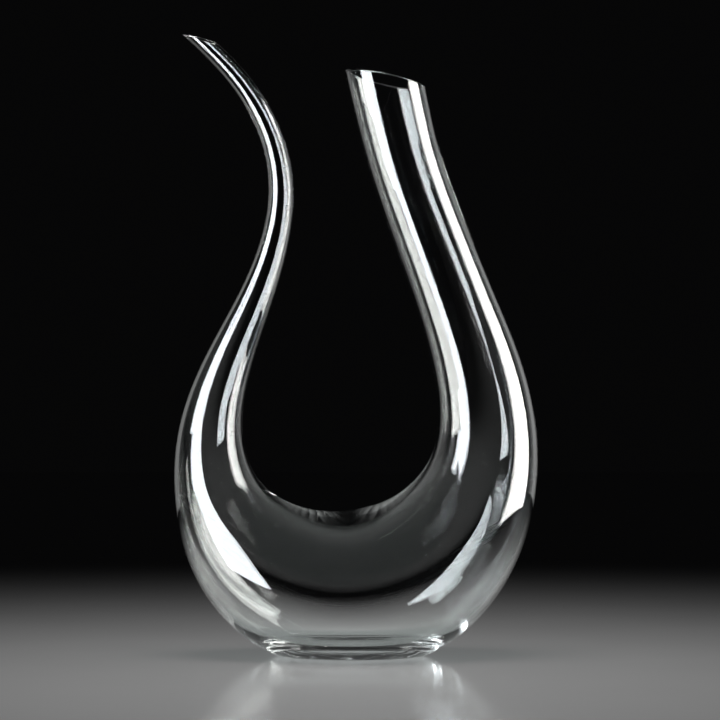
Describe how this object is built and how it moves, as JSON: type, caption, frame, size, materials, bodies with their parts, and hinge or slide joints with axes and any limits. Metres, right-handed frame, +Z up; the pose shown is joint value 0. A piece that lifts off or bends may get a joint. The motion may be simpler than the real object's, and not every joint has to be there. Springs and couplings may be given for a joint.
{
  "type": "wine decanter",
  "caption": "U-shaped blown glass wine decanter: wide slanted filling neck, round bowl on a thick flat foot, and a slim curved pouring arm with a slanted spout.",
  "frame": {"origin": "middle of the length and depth, on the surface that the foot stands on", "axes": "+Z up, +X from the pouring arm to the filling neck, +Y across the depth, away from a viewer with the pouring arm on the left"},
  "size_m": [0.2048, 0.1094, 0.3499],
  "materials": {
    "clear_glass": "clear, fire-polished"
  },
  "bodies": {
    "root": {"pouring_lip": "clear_glass", "pouring_arm": "clear_glass", "pouring_limb": "clear_glass", "bowl": "clear_glass", "foot": "clear_glass", "filling_limb": "clear_glass", "filling_neck": "clear_glass", "filling_lip": "clear_glass"}
  },
  "joints": []
}
